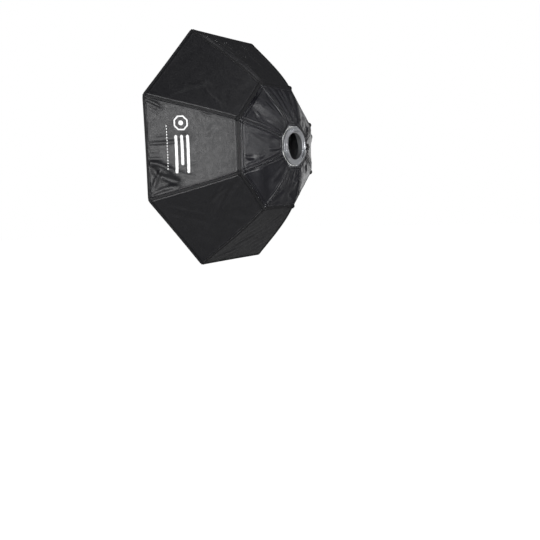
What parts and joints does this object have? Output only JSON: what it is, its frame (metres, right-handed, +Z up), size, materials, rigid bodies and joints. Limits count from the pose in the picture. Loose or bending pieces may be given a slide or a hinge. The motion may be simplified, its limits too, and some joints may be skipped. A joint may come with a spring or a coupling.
{
  "type": "octabox",
  "caption": "Octagonal softbox of black cloth on sprung steel rods, with a turning bayonet ring, rear access flaps and white diffusers.",
  "frame": {"origin": "centre of the ring's bearing face, which meets the lamp head", "axes": "+Y along the light's axis towards the lamp head, so the light leaves towards -Y; +Z up; the lock knob is at -X"},
  "size_m": [0.8834, 0.3407, 0.8834],
  "materials": {
    "black_nylon": "coated black nylon, satin, silver on the inner side",
    "black_tape": "matt woven black tape",
    "white_nylon": "translucent white diffusion nylon",
    "white_tape": "white loop tape",
    "white_elastic": "knitted white elastic",
    "spring_steel": "drawn spring steel, satin",
    "zinc_steel": "zinc plated, satin",
    "aluminium": "die cast and turned, fine satin",
    "brass": "turned",
    "black_plastic": "moulded, fine matt",
    "white_plastic": "acetal sheet"
  },
  "bodies": {
    "mount": {"bayonet_ring": "aluminium", "snap_ring": "spring_steel", "glide_washer": "white_plastic"},
    "softbox": {"rod_ring": "aluminium", "rod_socket_1": "zinc_steel", "rod_socket_2": "zinc_steel", "rod_socket_3": "zinc_steel", "rod_socket_4": "zinc_steel", "rod_socket_5": "zinc_steel", "rod_socket_6": "zinc_steel", "rod_socket_7": "zinc_steel", "rod_socket_8": "zinc_steel", "rod_1": "spring_steel", "rod_2": "spring_steel", "rod_3": "spring_steel", "rod_4": "spring_steel", "rod_5": "spring_steel", "rod_6": "spring_steel", "rod_7": "spring_steel", "rod_8": "spring_steel", "rod_tip_1": "black_plastic", "rod_tip_2": "black_plastic", "rod_tip_3": "black_plastic", "rod_tip_4": "black_plastic", "rod_tip_5": "black_plastic", "rod_tip_6": "black_plastic", "rod_tip_7": "black_plastic", "rod_tip_8": "black_plastic", "outer_panel_1": "black_nylon", "outer_panel_2": "black_nylon", "outer_panel_3": "black_nylon", "outer_panel_4": "black_nylon", "outer_panel_5": "black_nylon", "outer_panel_6": "black_nylon", "outer_panel_7": "black_nylon", "outer_panel_8": "black_nylon", "rim_binding": "black_tape", "front_hem": "black_tape", "inner_diffuser": "white_nylon", "elastic_strap_1": "white_elastic", "elastic_strap_2": "white_elastic", "elastic_strap_3": "white_elastic", "elastic_strap_4": "white_elastic", "elastic_strap_5": "white_elastic", "elastic_strap_6": "white_elastic", "elastic_strap_7": "white_elastic", "elastic_strap_8": "white_elastic"},
    "lock_pad": {"lock_pad": "brass"},
    "lock_screw": {"lock_screw": "zinc_steel", "lock_knob": "black_plastic"},
    "front_cover": {"front_diffuser": "white_nylon", "diffuser_tape": "white_tape"},
    "rear_flap_1": {"rear_flap_1": "black_nylon"},
    "rear_flap_2": {"rear_flap_2": "black_nylon"},
    "rear_flap_3": {"rear_flap_3": "black_nylon"},
    "rear_flap_4": {"rear_flap_4": "black_nylon"},
    "rear_flap_5": {"rear_flap_5": "black_nylon"},
    "rear_flap_6": {"rear_flap_6": "black_nylon"},
    "rear_flap_7": {"rear_flap_7": "black_nylon"},
    "rear_flap_8": {"rear_flap_8": "black_nylon"}
  },
  "joints": [
    {"name": "softbox_spin", "type": "hinge", "parent": "mount", "child": "softbox", "pos_m": [0, 0, 0], "axis": [0, 1, 0], "continuous": true},
    {"name": "lock_pad_slide", "type": "slide", "parent": "softbox", "child": "lock_pad", "axis": [-1, 0, 0], "range_m": [0, 0.002]},
    {"name": "lock_screw_turn", "type": "hinge", "parent": "lock_pad", "child": "lock_screw", "pos_m": [-0.0686, -0.0158, 0], "axis": [-1, 0, 0], "range_deg": [0, 720]},
    {"name": "front_cover_pull", "type": "slide", "parent": "softbox", "child": "front_cover", "axis": [0, -1, 0], "range_m": [0, 0.3]},
    {"name": "rear_flap_1_open", "type": "hinge", "parent": "softbox", "child": "rear_flap_1", "pos_m": [0.22127, -0.07861, 0], "axis": [0, 0, -1], "range_deg": [0, 110]},
    {"name": "rear_flap_2_open", "type": "hinge", "parent": "softbox", "child": "rear_flap_2", "pos_m": [0.15646, -0.07861, 0.15646], "axis": [0.7071, 0, -0.7071], "range_deg": [0, 110]},
    {"name": "rear_flap_3_open", "type": "hinge", "parent": "softbox", "child": "rear_flap_3", "pos_m": [0, -0.07861, 0.22127], "axis": [1, 0, 0], "range_deg": [0, 110]},
    {"name": "rear_flap_4_open", "type": "hinge", "parent": "softbox", "child": "rear_flap_4", "pos_m": [-0.15646, -0.07861, 0.15646], "axis": [0.7071, 0, 0.7071], "range_deg": [0, 110]},
    {"name": "rear_flap_5_open", "type": "hinge", "parent": "softbox", "child": "rear_flap_5", "pos_m": [-0.22127, -0.07861, 0], "axis": [0, 0, 1], "range_deg": [0, 110]},
    {"name": "rear_flap_6_open", "type": "hinge", "parent": "softbox", "child": "rear_flap_6", "pos_m": [-0.15646, -0.07861, -0.15646], "axis": [-0.7071, 0, 0.7071], "range_deg": [0, 110]},
    {"name": "rear_flap_7_open", "type": "hinge", "parent": "softbox", "child": "rear_flap_7", "pos_m": [0, -0.07861, -0.22127], "axis": [-1, 0, 0], "range_deg": [0, 110]},
    {"name": "rear_flap_8_open", "type": "hinge", "parent": "softbox", "child": "rear_flap_8", "pos_m": [0.15646, -0.07861, -0.15646], "axis": [-0.7071, 0, -0.7071], "range_deg": [0, 110]}
  ],
  "couplings": [
    {"joint": "lock_pad_slide", "follows": "lock_screw_turn", "m_per_rad": 0.000159}
  ]
}
